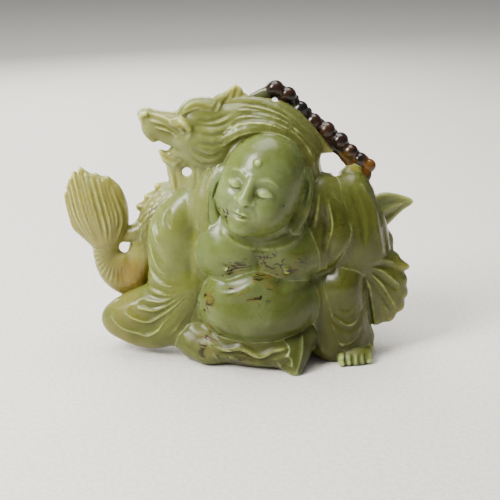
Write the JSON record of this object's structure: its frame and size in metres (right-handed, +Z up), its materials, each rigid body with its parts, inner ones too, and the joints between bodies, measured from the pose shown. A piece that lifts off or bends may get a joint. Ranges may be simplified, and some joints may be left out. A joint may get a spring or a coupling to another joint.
{
  "type": "jade figurine",
  "caption": "Carved translucent green stone desk figurine: a seated monk with a maned scaly beast round his back and a russet bead string. Stands free on its flat base.",
  "frame": {"origin": "on the flat underside, under the middle of the carving; the base_rest mount", "axes": "+Z up, +X towards the monk's left hand, the monk looks along -Y"},
  "size_m": [0.1197, 0.0489, 0.0954],
  "materials": {
    "pale_jade": "high polish, translucent, pale mint green",
    "olive_jade": "high polish, translucent, olive green",
    "honey_jade": "soft polish, translucent, honey yellow green",
    "russet_skin": "high polish, dark amber skin of the stone"
  },
  "bodies": {
    "root": {"bead_string": "russet_skin", "bead_web": "russet_skin", "beast_beard": "honey_jade", "beast_body": "honey_jade", "beast_brow": "honey_jade", "beast_horn": "honey_jade", "beast_jaw": "honey_jade", "beast_mane": "honey_jade", "beast_skull": "honey_jade", "beast_snout": "honey_jade", "beast_tail": "honey_jade", "belly": "pale_jade", "chest": "pale_jade", "flame_fin": "honey_jade", "head": "pale_jade", "left_arm": "olive_jade", "left_chest_robe": "olive_jade", "left_ear": "pale_jade", "left_foot": "pale_jade", "left_knee": "olive_jade", "left_sleeve": "olive_jade", "right_arm": "olive_jade", "right_collar": "olive_jade", "right_ear": "pale_jade", "right_foot": "pale_jade", "right_knee": "olive_jade", "right_shin": "olive_jade", "right_sleeve": "olive_jade", "robe_back": "olive_jade", "robe_skirt": "olive_jade", "spine_ridge": "honey_jade", "tail_tuft": "honey_jade"}
  },
  "joints": []
}
